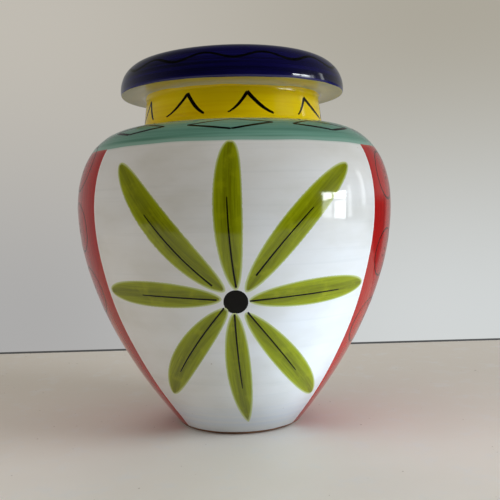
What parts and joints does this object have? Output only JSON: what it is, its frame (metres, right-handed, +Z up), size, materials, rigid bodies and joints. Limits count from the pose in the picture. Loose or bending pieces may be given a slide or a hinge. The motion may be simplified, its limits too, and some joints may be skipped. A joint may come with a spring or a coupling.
{
  "type": "painted pottery vase",
  "caption": "Wheel-thrown earthenware vase with a full belly, short neck and heavy rolled rim, under glossy painted tin glaze.",
  "frame": {"origin": "centre of the foot, on the plane that the vase stands on", "axes": "+Z up along the axis of the vase; -Y is the painted front; +X is the vase's side to the right of a viewer who faces the front"},
  "size_m": [0.2, 0.2, 0.23],
  "materials": {
    "earthenware": "bare low-fired red clay, matte",
    "white_glaze": "glossy opaque tin glaze",
    "red_glaze": "glossy, brushed on in upright strokes over white",
    "teal_glaze": "glossy, banded by the turning brush",
    "yellow_glaze": "glossy, banded by the turning brush",
    "blue_glaze": "glossy, deep cobalt",
    "green_glaze": "glossy, in single long brush strokes",
    "black_glaze": "glossy, in thin brush lines"
  },
  "bodies": {
    "root": {"foot_ring": "earthenware", "base_floor": "earthenware", "lower_wall": "earthenware", "shoulder_wall": "earthenware", "neck_collar": "earthenware", "rim_flange": "earthenware", "front_panel_glaze": "white_glaze", "back_panel_glaze": "white_glaze", "right_panel_glaze": "red_glaze", "left_panel_glaze": "red_glaze", "shoulder_glaze": "teal_glaze", "neck_glaze": "yellow_glaze", "rim_underside_glaze": "white_glaze", "rim_glaze": "blue_glaze", "interior_glaze": "white_glaze"}
  },
  "joints": []
}
